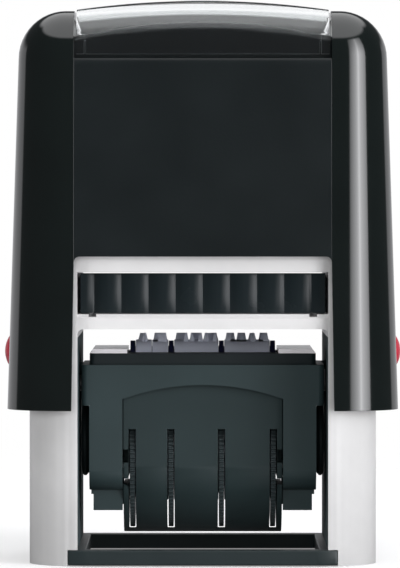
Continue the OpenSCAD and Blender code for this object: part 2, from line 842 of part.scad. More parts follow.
// A setting wheel: knurled rim and the hub under its band
knurls = 90;
knurl_depth = 0.4;
module setting_wheel(x, hub_from, hub_to) color("#23282a") difference() {
    union() {
        along_x(x, x + wheel_t) translate([0, wheel_z]) polygon([
            for (i = [0:knurls - 1], k = [0:3])
                let (a = 360 * (i + k / 4) / knurls, r = wheel_r - (k < 2 ? 0 : knurl_depth))
                r * [cos(a), sin(a)]
        ]);
        rod(hub_from, hub_to, hub_r, z = wheel_z);
    }
    rod(-far, far, wheel_axle_r + run_gap, z = wheel_z);
}
module day_tens_wheel() setting_wheel(wheel_x[0], wheel_x[0], tens_x + day_band_w);
module day_units_wheel() setting_wheel(wheel_x[1], units_x, wheel_x[1] + wheel_t);
module month_wheel() setting_wheel(wheel_x[2], month_x, wheel_x[2] + wheel_t);
module year_wheel() setting_wheel(wheel_x[3], year_x, wheel_x[3] + wheel_t);

base_frame();
foot_frame();
left_cam_wall();
right_cam_wall();
ink_cartridge();
ink_pad();
cap_shell();
yoke();
axle_pins();
return_spring();
imprint_window();
imprint_card();
left_lock_button();
right_lock_button();
unit_housing();
die_plate();
text_carrier();
band_bridge();
day_tens_band();
day_units_band();
month_band();
year_band();
wheel_guard();
wheel_axle();
left_guide_disc();
right_guide_disc();
day_tens_wheel();
day_units_wheel();
month_wheel();
year_wheel();
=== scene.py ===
"""Looks of a self-inking date stamp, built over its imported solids.

The scene is in metres. Mesh code works in millimetres and scales by MM when it makes a mesh.
"""

import json
import math

import bmesh
import bpy
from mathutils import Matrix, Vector


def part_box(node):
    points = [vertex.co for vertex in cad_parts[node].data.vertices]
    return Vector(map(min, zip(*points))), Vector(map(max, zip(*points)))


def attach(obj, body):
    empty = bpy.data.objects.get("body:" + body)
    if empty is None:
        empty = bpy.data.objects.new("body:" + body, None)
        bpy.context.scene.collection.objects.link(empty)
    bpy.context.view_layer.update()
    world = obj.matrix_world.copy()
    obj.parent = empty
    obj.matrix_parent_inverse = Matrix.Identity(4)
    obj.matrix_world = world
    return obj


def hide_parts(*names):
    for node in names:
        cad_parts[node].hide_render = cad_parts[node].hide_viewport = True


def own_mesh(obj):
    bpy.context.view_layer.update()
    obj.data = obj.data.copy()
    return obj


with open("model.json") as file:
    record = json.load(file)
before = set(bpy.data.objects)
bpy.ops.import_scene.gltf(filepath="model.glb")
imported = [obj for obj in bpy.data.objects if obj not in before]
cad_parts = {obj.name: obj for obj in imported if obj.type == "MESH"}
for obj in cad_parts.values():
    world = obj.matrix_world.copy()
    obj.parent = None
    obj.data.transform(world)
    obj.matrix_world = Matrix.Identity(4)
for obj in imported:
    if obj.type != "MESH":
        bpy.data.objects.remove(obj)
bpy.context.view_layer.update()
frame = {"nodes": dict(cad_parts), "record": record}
nodes = frame["nodes"]
scene = bpy.context.scene
MM = 0.001


def box_mm(node):
    """Lowest and highest corner of a CAD node, in millimetres."""
    low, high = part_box(node)
    return low / MM, high / MM


def lerp(a, b, t):
    return a + (b - a) * t


# Stage: a long lens about 0.93 m away, three fill lamps, and a room that shows in reflections

CAMERA_PLACE = (-0.0005, -0.930, 0.067)
CAMERA_TILT = 1.03
LENS = 320.6
SENSOR_WIDTH = 36
FAR_CLIP = 20
LIT_POINT = (0, 0, 0.06)
# Azimuth and elevation in degrees, distance, size and radiance; azimuth runs from the front to the right
FILLS = {
    "front_fill": (-4, 6, 1.1, 0.5, 3.3),
    "left_fill": (-58, 4, 0.9, 0.4, 4.2),
    "right_fill": (62, 2, 0.9, 0.4, 4.4),
}
# Brightness across the strip light, by azimuth in degrees
STRIP_TONES = (
    (22, 0), (25, 0.19), (32, 0.36), (39, 0.54), (43, 0.75), (44.8, 1), (47, 0.78), (50.5, 0.63), (58, 0.46),
    (64, 0.30), (65, 0),
)
ROOM_LIGHT = (0.075, 0.079, 0.082)
BACKDROP_LIGHT = (0.70, 0.70, 0.72)
STRIP_LIGHT = (8.5, 8.5, 8.7)
CEILING_LIGHT = (1.45, 1.45, 1.47)
WHITE = (1.0, 1.0, 1.0)
# Edges of the room's lights, as parts of a direction of length one; four numbers scale one range to another
BACKDROP_EDGE = (-0.3, 0.3, 0.42, 0.58)
BACKDROP_SOFT = 0.05
BACKDROP_TOP = (0.34, 0.16)
STRIP_FADE = (0.2, 0.7, 1.0, 0.4)
STRIP_TOP = (0.73, 0.67)
STRIP_FOOT = (-0.3, -0.2)
CEILING_RIM = (0.3, 0.8, 0.73, 0.53)
CEILING_SOFT = 0.07
FLOOR_R = 0.6
FLOOR_SIDES = 96
FLOOR_FADE = (0.10, 0.40)
FLOOR_PALE = (0.86, 0.86, 0.86, 1)
FLOOR_DIM = (0.30, 0.30, 0.30, 1)
FLOOR_GLOW = 0.25


def add_camera():
    data = bpy.data.cameras.new("camera")
    data.lens = LENS
    data.sensor_width = SENSOR_WIDTH
    data.clip_end = FAR_CLIP
    camera = bpy.data.objects.new("camera", data)
    camera.location = CAMERA_PLACE
    camera.rotation_euler = (math.radians(90 - CAMERA_TILT), 0, 0)
    scene.collection.objects.link(camera)
    scene.camera = camera


def add_fill(name, azimuth, elevation, distance, size, radiance):
    """A square lamp that faces the stamp and isn't mirrored in it."""
    data = bpy.data.lights.new(name, "AREA")
    data.shape = "SQUARE"
    data.size = size
    data.energy = radiance * math.pi * size ** 2
    lamp = bpy.data.objects.new(name, data)
    turn, rise = math.radians(azimuth), math.radians(elevation)
    away = Vector((math.cos(rise) * math.sin(turn), -math.cos(rise) * math.cos(turn), math.sin(rise)))
    lamp.location = Vector(LIT_POINT) + away * distance
    lamp.rotation_euler = (-away).to_track_quat("-Z", "Y").to_euler()
    lamp.visible_glossy = False
    lamp.visible_transmission = False
    scene.collection.objects.link(lamp)


def node_tools(tree):
    """Two helpers for a node tree: one adds a node with its settings, one adds a link."""
    def add(kind, inputs=None, **settings):
        node = tree.nodes.new(kind)
        for key, value in settings.items():
            setattr(node, key, value)
        for key, value in (inputs or {}).items():
            node.inputs[key].default_value = value
        return node

    def link(source, out, target, into):
        tree.links.new(source.outputs[out], target.inputs[into])
    return add, link


def add_world():
    """White to the camera. Reflections see a dim room, its ceiling, a strip light and a low backdrop."""
    world = bpy.data.worlds.new("studio")
    scene.world = world
    world.use_nodes = True
    tree = world.node_tree
    tree.nodes.clear()
    add, link = node_tools(tree)

    def math_node(operation, *terms):
        """A math node; a term is a number or a (node, output) pair."""
        node = add("ShaderNodeMath", operation=operation)
        for k, term in enumerate(terms):
            if isinstance(term, tuple):
                link(*term, node, k)
            else:
                node.inputs[k].default_value = term
        return node, 0

    def scaled(term, low, high, first=0.0, last=1.0, kind="LINEAR"):
        """A term's range from low to high, scaled to one from first to last and held at both ends."""
        ends = {"From Min": low, "From Max": high, "To Min": first, "To Max": last}
        node = add("ShaderNodeMapRange", ends, interpolation_type=kind)
        link(*term, node, "Value")
        return node, "Result"

    def ramp(term, low, high):
        return scaled(term, low, high, kind="SMOOTHSTEP")

    def blend(share, first, second):
        """A colour between two; each is a colour or a (node, output) pair."""
        node = add("ShaderNodeMix", data_type="RGBA")
        link(*share, node, 0)
        first_color, second_color, result_color = 6, 7, 2
        for k, term in ((first_color, first), (second_color, second)):
            if isinstance(term[0], float):
                node.inputs[k].default_value = term + (1,)
            else:
                link(*term, node, k)
        return node, result_color
    coords = add("ShaderNodeTexCoord")
    split = add("ShaderNodeSeparateXYZ")
    link(coords, "Generated", split, 0)
    across_x, into_y, up_z = ((split, axis) for axis in "XYZ")
    # The backdrop reaches further round on the left than on the right
    edge = scaled(across_x, *BACKDROP_EDGE)
    backdrop = ramp(math_node("SUBTRACT", into_y, edge), -BACKDROP_SOFT, BACKDROP_SOFT)
    level = ramp(math_node("ABSOLUTE", up_z), *BACKDROP_TOP)
    behind = math_node("MULTIPLY", backdrop, level)
    room = blend(behind, ROOM_LIGHT, BACKDROP_LIGHT)
    # The strip light to the right is brightest along its middle and fades upwards
    turn = math_node("ARCTAN2", across_x, math_node("MULTIPLY", into_y, -1.0))
    first, last = STRIP_TONES[0][0], STRIP_TONES[-1][0]
    spread = scaled(turn, math.radians(first), math.radians(last))
    tone = add("ShaderNodeValToRGB")
    for _ in STRIP_TONES[2:]:
        tone.color_ramp.elements.new(0.5)
    for element, (azimuth, share) in zip(tone.color_ramp.elements, STRIP_TONES):
        element.position = (azimuth - first) / (last - first)
        element.color = (share, share, share, 1)
    link(*spread, tone, "Fac")
    fade = scaled(up_z, *STRIP_FADE)
    height = math_node("MULTIPLY", ramp(up_z, *STRIP_TOP), ramp(up_z, *STRIP_FOOT))
    strip = math_node("MULTIPLY", (tone, "Color"), math_node("MULTIPLY", fade, height))
    room = blend(strip, room, STRIP_LIGHT)
    # The ceiling reaches lower at the back than at the front
    rim = scaled(into_y, *CEILING_RIM)
    above = ramp(math_node("SUBTRACT", up_z, rim), 0.0, CEILING_SOFT)
    lit = blend(above, room, CEILING_LIGHT)
    # The background is also white where it shows through the window
    path = add("ShaderNodeLightPath")
    through = math_node("MULTIPLY", (path, "Is Transmission Ray"), math_node("GREATER_THAN", into_y, 0.0))
    seen = math_node("MAXIMUM", (path, "Is Camera Ray"), through)
    shown = blend(seen, lit, WHITE)
    background = add("ShaderNodeBackground")
    link(*shown, background, "Color")
    output = add("ShaderNodeOutputWorld")
    link(background, "Background", output, "Surface")


def add_floor():
    """A pale round floor that fades into the white backdrop."""
    mesh = bpy.data.meshes.new("floor")
    shape = bmesh.new()
    bmesh.ops.create_circle(shape, cap_ends=True, segments=FLOOR_SIDES, radius=FLOOR_R)
    shape.to_mesh(mesh)
    shape.free()
    floor = bpy.data.objects.new("floor", mesh)
    scene.collection.objects.link(floor)
    material = bpy.data.materials.new("floor")
    material.use_nodes = True
    tree = material.node_tree
    tree.nodes.clear()
    add, link = node_tools(tree)
    coords = add("ShaderNodeTexCoord")
    length = add("ShaderNodeVectorMath", operation="LENGTH")
    link(coords, "Object", length, 0)
    ends = dict(zip(("From Min", "From Max"), FLOOR_FADE))
    fade = add("ShaderNodeMapRange", ends, interpolation_type="SMOOTHSTEP")
    link(length, "Value", fade, "Value")
    matte = add("ShaderNodeBsdfDiffuse", {"Color": FLOOR_PALE})
    glow = add("ShaderNodeEmission", {"Strength": FLOOR_GLOW})
    pale = add("ShaderNodeAddShader")
    link(matte, "BSDF", pale, 0)
    link(glow, "Emission", pale, 1)
    dim = add("ShaderNodeBsdfDiffuse", {"Color": FLOOR_DIM})
    path = add("ShaderNodeLightPath")
    both = add("ShaderNodeMixShader")
    link(path, "Is Camera Ray", both, 0)
    link(dim, "BSDF", both, 1)
    link(pale, "Shader", both, 2)
    clear = add("ShaderNodeBsdfTransparent")
    mix = add("ShaderNodeMixShader")
    link(fade, "Result", mix, 0)
    link(both, "Shader", mix, 1)
    link(clear, "BSDF", mix, 2)
    output = add("ShaderNodeOutputMaterial")
    link(mix, "Shader", output, "Surface")
    mesh.materials.append(material)


# Materials

CLOUD_SCALE = 90
CLOUD_ENDS = (0.3, 0.7)
GRAIN_DEPTH = 0.0001
LEAST_ROUGHNESS = 0.02


def plastic(name, color, roughness, grain=900, bump=0.02, vary=0.06, spread=0.06, **sockets):
    """Moulded plastic: fine grain in the surface, and a slight drift in colour and gloss."""
    material = bpy.data.materials.new(name)
    material.use_nodes = True
    tree = material.node_tree
    add, link = node_tools(tree)
    shader = tree.nodes["Principled BSDF"]
    for key, value in sockets.items():
        shader.inputs[key.replace("_", " ")].default_value = value
    coords = add("ShaderNodeTexCoord")
    cloud = add("ShaderNodeTexNoise", {"Scale": CLOUD_SCALE, "Detail": 4})
    link(coords, "Object", cloud, "Vector")
    shade = add("ShaderNodeValToRGB")
    dark, light = shade.color_ramp.elements
    dark.position, light.position = CLOUD_ENDS
    dark.color = [c * (1 - vary) for c in color] + [1]
    light.color = [min(1, c * (1 + vary)) for c in color] + [1]
    link(cloud, "Fac", shade, "Fac")
    link(shade, "Color", shader, "Base Color")
    least = max(LEAST_ROUGHNESS, roughness - spread)
    gloss = add("ShaderNodeMapRange", {"To Min": least, "To Max": roughness + spread})
    link(cloud, "Fac", gloss, "Value")
    link(gloss, "Result", shader, "Roughness")
    speck = add("ShaderNodeTexNoise", {"Scale": grain, "Detail": 3})
    link(coords, "Object", speck, "Vector")
    relief = add("ShaderNodeBump", {"Strength": bump, "Distance": GRAIN_DEPTH})
    link(speck, "Fac", relief, "Height")
    link(relief, "Normal", shader, "Normal")
    return material


materials = {
    "base_plastic": plastic("base_plastic", (0.72, 0.715, 0.715), 0.40, bump=0.03),
    "black_plastic": plastic("black_plastic", (0.020, 0.030, 0.032), 0.42, bump=0.05),
    "cartridge_plastic": plastic(
        "cartridge_plastic", (0.010, 0.015, 0.017), 0.26, bump=0.03, Specular_IOR_Level=0.22),
    "cap_gloss": plastic(
        "cap_gloss", (0.0035, 0.0060, 0.0056), 0.09, grain=1500, bump=0.006, vary=0.10, spread=0.02,
        Specular_IOR_Level=0.9),
    "carrier_plastic": plastic("carrier_plastic", (0.92, 0.89, 0.92), 0.2, bump=0.05),
    "unit_plastic": plastic("unit_plastic", (0.030, 0.049, 0.052), 0.45, bump=0.06),
    "guard_plastic": plastic("guard_plastic", (0.0205, 0.036, 0.038), 0.5, bump=0.06),
    "wheel_plastic": plastic("wheel_plastic", (0.032, 0.044, 0.047), 0.4, bump=0.05),
    "navy_plastic": plastic("navy_plastic", (0.010, 0.011, 0.038), 0.4, bump=0.04),
    "button_red": plastic("button_red", (0.50, 0.02, 0.045), 0.32, bump=0.01, Specular_IOR_Level=0.15),
    "band_rubber": plastic("band_rubber", (0.72, 0.75, 0.86), 0.55, grain=1400, bump=0.12, vary=0.12),
    "ink_felt": plastic("ink_felt", (0.02, 0.022, 0.06), 0.9, grain=2500, bump=0.6, vary=0.3),
    "card": plastic(
        "card", (0.86, 0.86, 0.84), 0.8, grain=3000, bump=0.05, vary=0.02, Subsurface_Weight=1.0,
        Subsurface_Scale=0.0012, Subsurface_Radius=(1, 1, 1)),
    "steel": plastic("steel", (0.55, 0.56, 0.57), 0.3, grain=2000, bump=0.03, Metallic=1.0),
    "clear_plastic": plastic(
        "clear_plastic", (0.94, 0.96, 0.97), 0.05, grain=1200, bump=0.004, vary=0.01, spread=0.02,
        Transmission_Weight=1.0, IOR=1.49),
}
panel_finish = plastic(
    "cap_panel", (0.0032, 0.0062, 0.0070), 0.34, grain=1800, bump=0.12, vary=0.12, Specular_IOR_Level=0.6)
plate_finish = plastic("text_plate", (0.010, 0.016, 0.018), 0.45, bump=0.06)
# Painted light: the cam walls are black plastic, made lighter here so that they look lit where they sit in
# shade inside the base
wall_painted_light = plastic("cam_wall", (0.065, 0.092, 0.098), 0.75, bump=0.05, Specular_IOR_Level=0.12)
# Frosted window edges: partly real frosting, partly a painted highlight that gives the light lines along
# these edges
frosted_edge_highlight = plastic(
    "window_edge_highlight", (0.80, 0.82, 0.84), 0.5, bump=0.05, Transmission_Weight=0.35, IOR=1.49)


# Pieces that stay CAD solids, with the rounding of their moulded edges in millimetres

EDGE_ROUNDING = {
    "base_frame": 0.35,
    "foot_frame": 0.25,
    "left_cam_wall": 0.15,
    "right_cam_wall": 0.15,
    "ink_cartridge": 0.15,
    "yoke": 0.2,
    "left_guide_disc": 0.15,
    "right_guide_disc": 0.15,
    "unit_housing": 0.25,
    "die_plate": 0.15,
    "text_carrier": 0.1,
    "wheel_guard": 0.12,
    "band_bridge": 0.1,
    "imprint_card": 0,
    "axle_pins": 0.15,
    "wheel_axle": 0.1,
    "left_lock_button": 0.1,
    "right_lock_button": 0.1,
    "day_tens_wheel": 0.06,
    "day_units_wheel": 0.06,
    "month_wheel": 0.06,
    "year_wheel": 0.06,
}
SHARP_ANGLE = math.radians(32)
ROUNDING_STEPS = 3
WELD_GAP = 0.002
MERGE_GAP = 0.001


def soften(obj, width):
    """Rounds a piece's sharp edges a little, as moulding does."""
    weld = obj.modifiers.new("weld", "WELD")
    weld.merge_threshold = WELD_GAP * MM
    bevel = obj.modifiers.new("edges", "BEVEL")
    bevel.width = width * MM
    bevel.segments = ROUNDING_STEPS
    bevel.limit_method = "ANGLE"
    bevel.angle_limit = SHARP_ANGLE
    bevel.harden_normals = True


def dress_solids():
    """Gives each CAD solid that stays its material and its rounded edges."""
    slots = {part["node"]: part["material_slot"] for part in frame["record"]["subparts"]}
    # The cam walls get black plastic lightened as painted light; the die plate gets its own finish
    special = {"left_cam_wall": wall_painted_light, "right_cam_wall": wall_painted_light, "die_plate": plate_finish}
    for name, width in EDGE_ROUNDING.items():
        mesh = nodes[name].data
        mesh.materials.clear()
        mesh.materials.append(special.get(name) or materials[slots[name]])
        if width:
            soften(nodes[name], width)


def add_mesh(name, parts, smooth=True):
    """Joins (points, faces) lists, in millimetres, into one mesh object."""
    shape = bmesh.new()
    for points, faces in parts:
        made = [shape.verts.new(Vector(p) * MM) for p in points]
        for face in faces:
            shape.faces.new([made[i] for i in face])
    bmesh.ops.remove_doubles(shape, verts=shape.verts, dist=MERGE_GAP * MM)
    bmesh.ops.recalc_face_normals(shape, faces=shape.faces)
    for face in shape.faces:
        face.smooth = smooth
    mesh = bpy.data.meshes.new(name)
    shape.to_mesh(mesh)
    shape.free()
    obj = bpy.data.objects.new(name, mesh)
    scene.collection.objects.link(obj)
    return obj


def add_piece(name, parts, slot, body, replaced, rounding=0, finish=None):
    """A mesh object that stands for a CAD node."""
    piece = add_mesh(name, parts)
    piece.data.set_sharp_from_angle(angle=SHARP_ANGLE)
    piece.data.materials.append(finish or materials[slot])
    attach(piece, body)
    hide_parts(replaced)
    if rounding:
        soften(piece, rounding)
    return piece


def sweep_loops(loops, closed_ends=True):
    """Points and faces of a tube through loops of equally many points."""
    count = len(loops[0])
    points = [p for loop in loops for p in loop]
    faces = []
    for k in range(len(loops) - 1):
        for j in range(count):
            n = (j + 1) % count
            faces.append((k * count + j, k * count + n, (k + 1) * count + n, (k + 1) * count + j))
    if closed_ends:
        last = (len(loops) - 1) * count
        faces.append(tuple(range(count)))
        faces.append(tuple(last + j for j in reversed(range(count))))
    return points, faces


def arc(centre, radius, start, end, steps):
    """Points along an arc in a plane, angles in degrees."""
    return [
        (centre[0] + radius * math.cos(math.radians(lerp(start, end, k / steps))),
         centre[1] + radius * math.sin(math.radians(lerp(start, end, k / steps))))
        for k in range(steps + 1)
    ]


# Cap: two lofted columns with their ears, the flush panel between them, and the core under the window

cap_low, cap_high = box_mm("cap_shell")
window_low, window_high = box_mm("imprint_window")
button_low, button_high = box_mm("right_lock_button")
CAP_HALF_D = cap_high.y
SKIRT_Z = cap_low.z
EAR_Z = 99.8
CAP_HALF_LOW = cap_high.x
CAP_TAPER = 2.15
CAP_HALF_TOP = CAP_HALF_LOW - CAP_TAPER
CORNER_R = 11
CROWN_R = 8.6
CROWN_Z = EAR_Z - CROWN_R
WALL = 1.5
WINDOW_GAP = 0.45
PANEL_HALF = window_high.x + WINDOW_GAP
PANEL_RECESS = 0.02
PANEL_BROW = 0.6
PANEL_BROW_BACK = 0.33
PANEL_ROUNDING = 0.3
PANEL_END_STEPS = (0, 0.05, 0.15, 0.3, 0.5, 0.75, 1.0)
COLUMN_ROUNDING = 0.05
CUTOUT_Z = 55.65
CUTOUT_R = 1.0
SKIRT_FLARE = 0.45
FLAP_GAP = 0.75
FLAP_Z = window_low.z - FLAP_GAP
WINDOW_T = 1.5
WINDOW_SPACE = 2.4
CORE_Z = window_high.z - WINDOW_T - WINDOW_SPACE
CORE_SETBACK = 1.2
CORE_HALF_D = CAP_HALF_D - WINDOW_T - CORE_SETBACK
CORE_EDGE_R = 2.0
CORE_RISE = 2.6
ROOF_T = 3.2
CEILING_Z = CORE_Z - ROOF_T
EAR_WALL_DROP = 1
EAR_WALL_INSET = 0.15
EAR_WALL_SIDES = (0.05, 0.6)
BUTTON_LIP = 0.8
BUTTON_CLEAR = 0.1
BUTTON_HOLE_R = button_high.y - BUTTON_LIP + BUTTON_CLEAR
LOCK_Z = (button_low.z + button_high.z) / 2
DRILL_SIDES = 48
DRILL_ENDS = (CAP_HALF_TOP - 4, CAP_HALF_LOW + 2)
WALL_ROWS = 24
CROWN_ROWS = 12
FRONT_STEPS = 5
CORNER_STEPS = 18
SIDE_STEPS = 6
CORE_EDGE_STEPS = 6
EAR_WALL_STEPS = 14


def cap_rings(inset):
    """Height, half width, half depth and corner radius of the cap's rounded plan, drawn in by a wall."""
    rings = []
    for k in range(WALL_ROWS + 1):
        t = k / WALL_ROWS
        radius = lerp(CORNER_R, CROWN_R, t) - inset
        half = lerp(CAP_HALF_LOW, CAP_HALF_TOP, t) - inset
        rings.append((lerp(SKIRT_Z, CROWN_Z, t), half, CAP_HALF_D - inset, radius))
    crown = CROWN_R - inset
    for k in range(1, CROWN_ROWS + 1):
        turn = math.radians(90 * k / CROWN_ROWS)
        radius = crown * math.cos(turn)
        z = CROWN_Z + crown * math.sin(turn)
        rings.append((z, CAP_HALF_TOP - CROWN_R + radius, CAP_HALF_D - CROWN_R + radius, radius))
    return rings


def column_edge(z):
    """How far from the middle a column starts: it flares away from the print unit lower down."""
    corner = CUTOUT_Z - CUTOUT_R
    return PANEL_HALF + SKIRT_FLARE * max(0, (corner - z) / (corner - SKIRT_Z))


def column_outline(ring):
    """A column's plan from its front edge round the outside to its rear edge."""
    z, half, half_d, radius = ring
    edge = column_edge(z)
    straight = [(lerp(edge, half - radius, k / FRONT_STEPS), -half_d) for k in range(FRONT_STEPS)]
    front = arc((half - radius, radius - half_d), radius, -90, 0, CORNER_STEPS)
    side = [(half, lerp(radius - half_d, 0, k / SIDE_STEPS)) for k in range(1, SIDE_STEPS)]
    first = straight + front + side
    return [(x, y, z) for x, y in first] + [(half, 0, z)] + [(x, -y, z) for x, y in reversed(first)]


def column(side):
    """Closed shell of one column and its ear."""
    outer = [column_outline(ring) for ring in cap_rings(0)]
    inner = [column_outline(ring) for ring in cap_rings(WALL)]
    rows, count = len(outer), len(outer[0])
    points = [(side * x, y, z) for loop in outer + inner for x, y, z in loop]
    faces = []

    def at(layer, k, j):
        return (layer * rows + k) * count + j
    for k in range(rows - 1):
        for j in range(count - 1):
            corners = ((k, j), (k, j + 1), (k + 1, j + 1), (k + 1, j))
            for layer in (0, 1):
                faces.append(tuple(at(layer, *corner) for corner in corners))
        for j in (0, count - 1):
            faces.append((at(0, k, j), at(0, k + 1, j), at(1, k + 1, j), at(1, k, j)))
    for j in range(count - 1):
        faces.append((at(0, 0, j), at(0, 0, j + 1), at(1, 0, j + 1), at(1, 0, j)))
    # The top closes from front to rear
    top = rows - 1
    for j in range(count // 2):
        for layer in (0, 1):
            strip = (j, j + 1, count - 2 - j, count - 1 - j)
            faces.append(tuple(dict.fromkeys(at(layer, top, n) for n in strip)))
    faces.append((at(0, top, 0), at(0, top, count - 1), at(1, top, count - 1), at(1, top, 0)))
    return points, faces


def stations(half, fine, step=1.5):
    """Places across a half width either side of the middle, with extra ones near the ends."""
    coarse = [k * step for k in range(int((half - max(fine)) / step) + 1)]
    right = sorted(set(coarse + [half - f for f in fine]))
    return [-x for x in reversed(right) if x > 0] + right


def arched(profile, x, half, rise, foot):
    """Lowers a profile's points above foot towards the ends of an arch."""
    top = max(z for _, z in profile)
    drop = rise * (x / half) ** 2
    squeeze = 1 - drop / (top - foot)
    return [(x, y, z if z < foot else foot + (z - foot) * squeeze) for y, z in profile]


def across(half_profile):
    """A profile from the front to the middle, continued to the rear by its mirror image."""
    return half_profile + [(-y, z) for y, z in reversed(half_profile)]


def panel_and_core():
    """Front and rear panels and the arched core that joins them under the window."""
    front = CAP_HALF_D - PANEL_RECESS
    inside = front - WALL
    core_in = CORE_HALF_D - WALL
    shelf = FLAP_Z - WALL
    brow = FLAP_Z - PANEL_BROW
    loops = []
    for x in stations(PANEL_HALF, PANEL_END_STEPS):
        over = max(0, abs(x) - PANEL_HALF + CUTOUT_R)
        low = CUTOUT_Z - CUTOUT_R + math.sqrt(max(0, CUTOUT_R ** 2 - over ** 2))
        centre = (CORE_EDGE_R - CORE_HALF_D, CORE_Z - CORE_EDGE_R)
        shoulder = arc(centre, CORE_EDGE_R, 180, 90, CORE_EDGE_STEPS)
        face = [(-front, low), (-front, brow - PANEL_BROW), (-front, brow),
                (PANEL_BROW_BACK - front, FLAP_Z)]
        outer = across(face + [(-CORE_HALF_D, FLAP_Z)] + shoulder)
        inner = across([(-inside, low), (-inside, shelf), (-core_in, shelf), (-core_in, CEILING_Z)])
        loops.append(arched(outer + list(reversed(inner)), x, PANEL_HALF, CORE_RISE, FLAP_Z))
    return sweep_loops(loops)


def ear_wall(side):
    """Wall that closes an ear beside the window."""
    crown = arc((CROWN_R - CAP_HALF_D, CROWN_Z), CROWN_R - EAR_WALL_INSET, 180, 90, EAR_WALL_STEPS)
    profile = across([(EAR_WALL_INSET - CAP_HALF_D, FLAP_Z - EAR_WALL_DROP)] + crown)
    sides = [side * (PANEL_HALF + out) for out in EAR_WALL_SIDES]
    return sweep_loops([[(x, y, z) for y, z in profile] for x in sides])


def bore(piece, cutter):
    """Cuts a closed mesh out of a piece and keeps the result as its mesh."""
    cut = piece.modifiers.new("bore", "BOOLEAN")
    cut.object = cutter
    cut.solver = "EXACT"
    graph = bpy.context.evaluated_depsgraph_get()
    mesh = bpy.data.meshes.new_from_object(piece.evaluated_get(graph))
    piece.modifiers.clear()
    piece.data = mesh
    bpy.data.objects.remove(cutter)


def drill(side):
    """Cutter for a lock button's hole, from inside the wall to well outside it."""
    last = DRILL_SIDES - 1
    rim = arc((0, LOCK_Z), BUTTON_HOLE_R, 0, 360 * last / DRILL_SIDES, last)
    loops = [[(side * x, y, z) for y, z in rim] for x in DRILL_ENDS]
    return add_mesh("drill", [sweep_loops(loops)], smooth=False)


def add_cap():
    for side, name in ((-1, "cap_left_column"), (1, "cap_right_column")):
        piece = add_piece(name, [column(side)], "cap_gloss", "cap", "cap_shell")
        bore(piece, drill(side))
        piece.data.set_sharp_from_angle(angle=SHARP_ANGLE)
        soften(piece, COLUMN_ROUNDING)
    shapes = [panel_and_core(), ear_wall(-1), ear_wall(1)]
    add_piece("cap_panel", shapes, "cap_gloss", "cap", "cap_shell", PANEL_ROUNDING, panel_finish)


# Window: a clear arched cover with a clip slit at each lower corner

WINDOW_RISE = 1.6
WINDOW_BEND_R = 7.2
WINDOW_BEND_START = 168
WINDOW_BEND_STEPS = 20
# The cover is a little thinner in its walls and its bend than in its top
WALL_THINNING = 0.2
BEND_THINNING = 0.3
WINDOW_INNER_HALF_D = CAP_HALF_D - WINDOW_T + WALL_THINNING
WINDOW_INNER_BEND_R = WINDOW_BEND_R - WINDOW_T + BEND_THINNING
WINDOW_END_STEPS = (0, 0.1, 0.3, 0.7)
WINDOW_ROUNDING = 0.12
CLIP_W = 1.4
CLIP_H = 2.4
CLIP_SLIT = 0.3
CLIP_STEP = 0.01
SAWN_TILT = 0.7


def window_side(half_d, bottom, top, bend_r):
    """One surface of the window, seen from the side."""
    bend = arc((bend_r - half_d, top - bend_r), bend_r, WINDOW_BEND_START, 90, WINDOW_BEND_STEPS)
    return across([(-half_d, bottom)] + bend)


def add_window():
    half, low, top = window_high.x, window_low.z, window_high.z
    slit_end = CLIP_W + CLIP_SLIT
    slit = (CLIP_W, CLIP_W + CLIP_STEP, slit_end - CLIP_STEP, slit_end)
    loops = []
    for x in stations(half, WINDOW_END_STEPS + slit):
        in_slit = CLIP_W + CLIP_STEP / 2 < half - abs(x) < slit_end - CLIP_STEP / 2
        bottom = low + (CLIP_H if in_slit else 0)
        outer = window_side(window_high.y, bottom, top, WINDOW_BEND_R)
        inner = window_side(WINDOW_INNER_HALF_D, bottom, top - WINDOW_T, WINDOW_INNER_BEND_R)
        loops.append(arched(outer + list(reversed(inner)), x, half, WINDOW_RISE, top - WINDOW_BEND_R))
    cover = add_piece(
        "window_cover", [sweep_loops(loops)], "clear_plastic", "window", "imprint_window", WINDOW_ROUNDING)
    # Sawn lower edges and clip slits are frosted, and their pale colour also paints a highlight: the light
    # lines along the flap's bottom edge and the slit sides
    cover.data.materials.append(frosted_edge_highlight)
    for face in cover.data.polygons:
        low_face = face.center.z < (low + CLIP_H + CLIP_STEP) * MM
        if low_face and (face.normal.z < -SAWN_TILT or abs(face.normal.x) > SAWN_TILT):
            face.material_index = 1


# Felt ink pad: a crowned slab with a fibrous face

PAD_CELLS = (60, 34, 4)
PAD_EDGE = 0.45
PAD_WAVE = 0.05
PAD_WAVE_TURNS = (7.1, 5.3)


